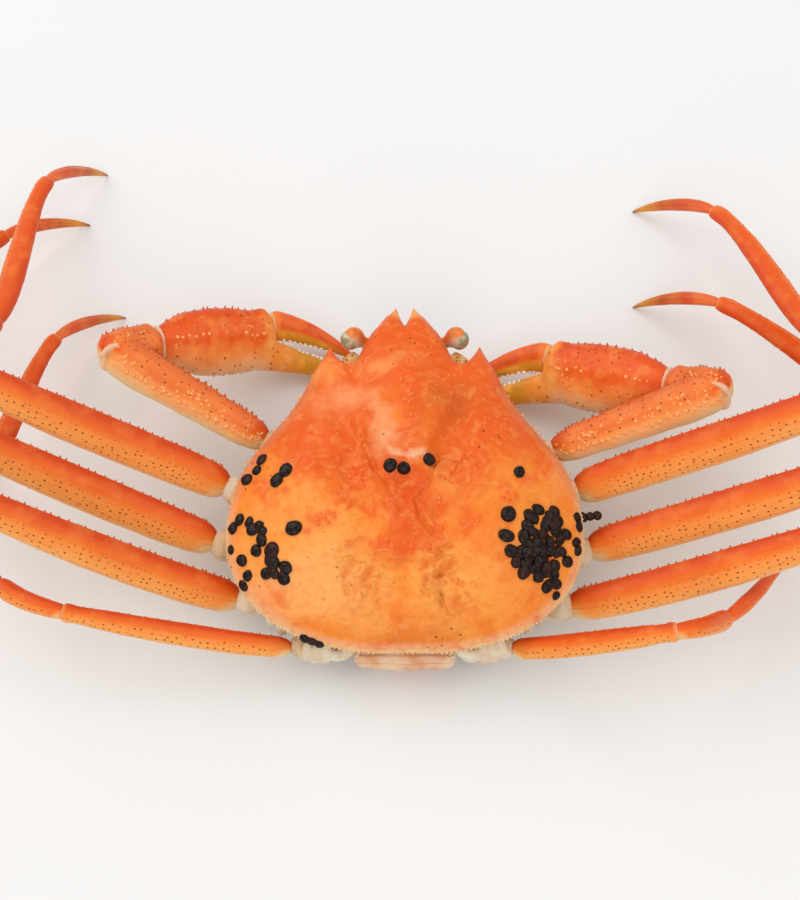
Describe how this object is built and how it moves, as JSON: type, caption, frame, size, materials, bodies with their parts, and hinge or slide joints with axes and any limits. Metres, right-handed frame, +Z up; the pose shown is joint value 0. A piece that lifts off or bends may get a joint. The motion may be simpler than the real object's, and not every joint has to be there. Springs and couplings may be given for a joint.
{
  "type": "boiled snow crab",
  "caption": "Whole boiled snow crab, orange shell, lying on its belly with claws folded in front and long thin legs spread.",
  "frame": {"origin": "centre of the flat under the belly, at floor level", "axes": "+Y towards the crab's front, +Z up, +X to the crab's right and the longest way across the spread legs"},
  "size_m": [0.3959, 0.2115, 0.0815],
  "materials": {
    "shell": "glossy boiled orange shell",
    "shell_red": "glossy boiled red-orange shell",
    "pale_shell": "cream underside shell and membrane",
    "claw_tip": "amber horny tip",
    "eye": "cloudy grey eye on an orange stalk"
  },
  "bodies": {
    "root": {"abdomen": "pale_shell", "antenna_left": "pale_shell", "antenna_right": "pale_shell", "carapace": "shell", "claw_left_carpus": "shell", "claw_left_coxa": "pale_shell", "claw_left_finger": "shell_red", "claw_left_hand": "shell", "claw_left_merus": "shell", "claw_right_carpus": "shell", "claw_right_coxa": "pale_shell", "claw_right_finger": "shell_red", "claw_right_hand": "shell", "claw_right_merus": "shell", "eye_left": "eye", "eye_right": "eye", "leg1_left_carpus": "shell", "leg1_left_coxa": "pale_shell", "leg1_left_dactyl": "claw_tip", "leg1_left_merus": "shell", "leg1_left_propodus": "shell_red", "leg1_right_carpus": "shell", "leg1_right_coxa": "pale_shell", "leg1_right_dactyl": "claw_tip", "leg1_right_merus": "shell", "leg1_right_propodus": "shell_red", "leg2_left_carpus": "shell", "leg2_left_coxa": "pale_shell", "leg2_left_dactyl": "claw_tip", "leg2_left_merus": "shell", "leg2_left_propodus": "shell_red", "leg2_right_carpus": "shell", "leg2_right_coxa": "pale_shell", "leg2_right_dactyl": "claw_tip", "leg2_right_merus": "shell", "leg2_right_propodus": "shell_red", "leg3_left_carpus": "shell", "leg3_left_coxa": "pale_shell", "leg3_left_dactyl": "claw_tip", "leg3_left_merus": "shell", "leg3_left_propodus": "shell_red", "leg3_right_carpus": "shell", "leg3_right_coxa": "pale_shell", "leg3_right_dactyl": "claw_tip", "leg3_right_merus": "shell", "leg3_right_propodus": "shell_red", "leg4_left_carpus": "shell", "leg4_left_coxa": "pale_shell", "leg4_left_dactyl": "claw_tip", "leg4_left_merus": "shell", "leg4_left_propodus": "shell_red", "leg4_right_carpus": "shell", "leg4_right_coxa": "pale_shell", "leg4_right_dactyl": "claw_tip", "leg4_right_merus": "shell", "leg4_right_propodus": "shell_red", "mouthpart_left": "pale_shell", "mouthpart_right": "pale_shell", "underbody": "pale_shell"}
  },
  "joints": []
}
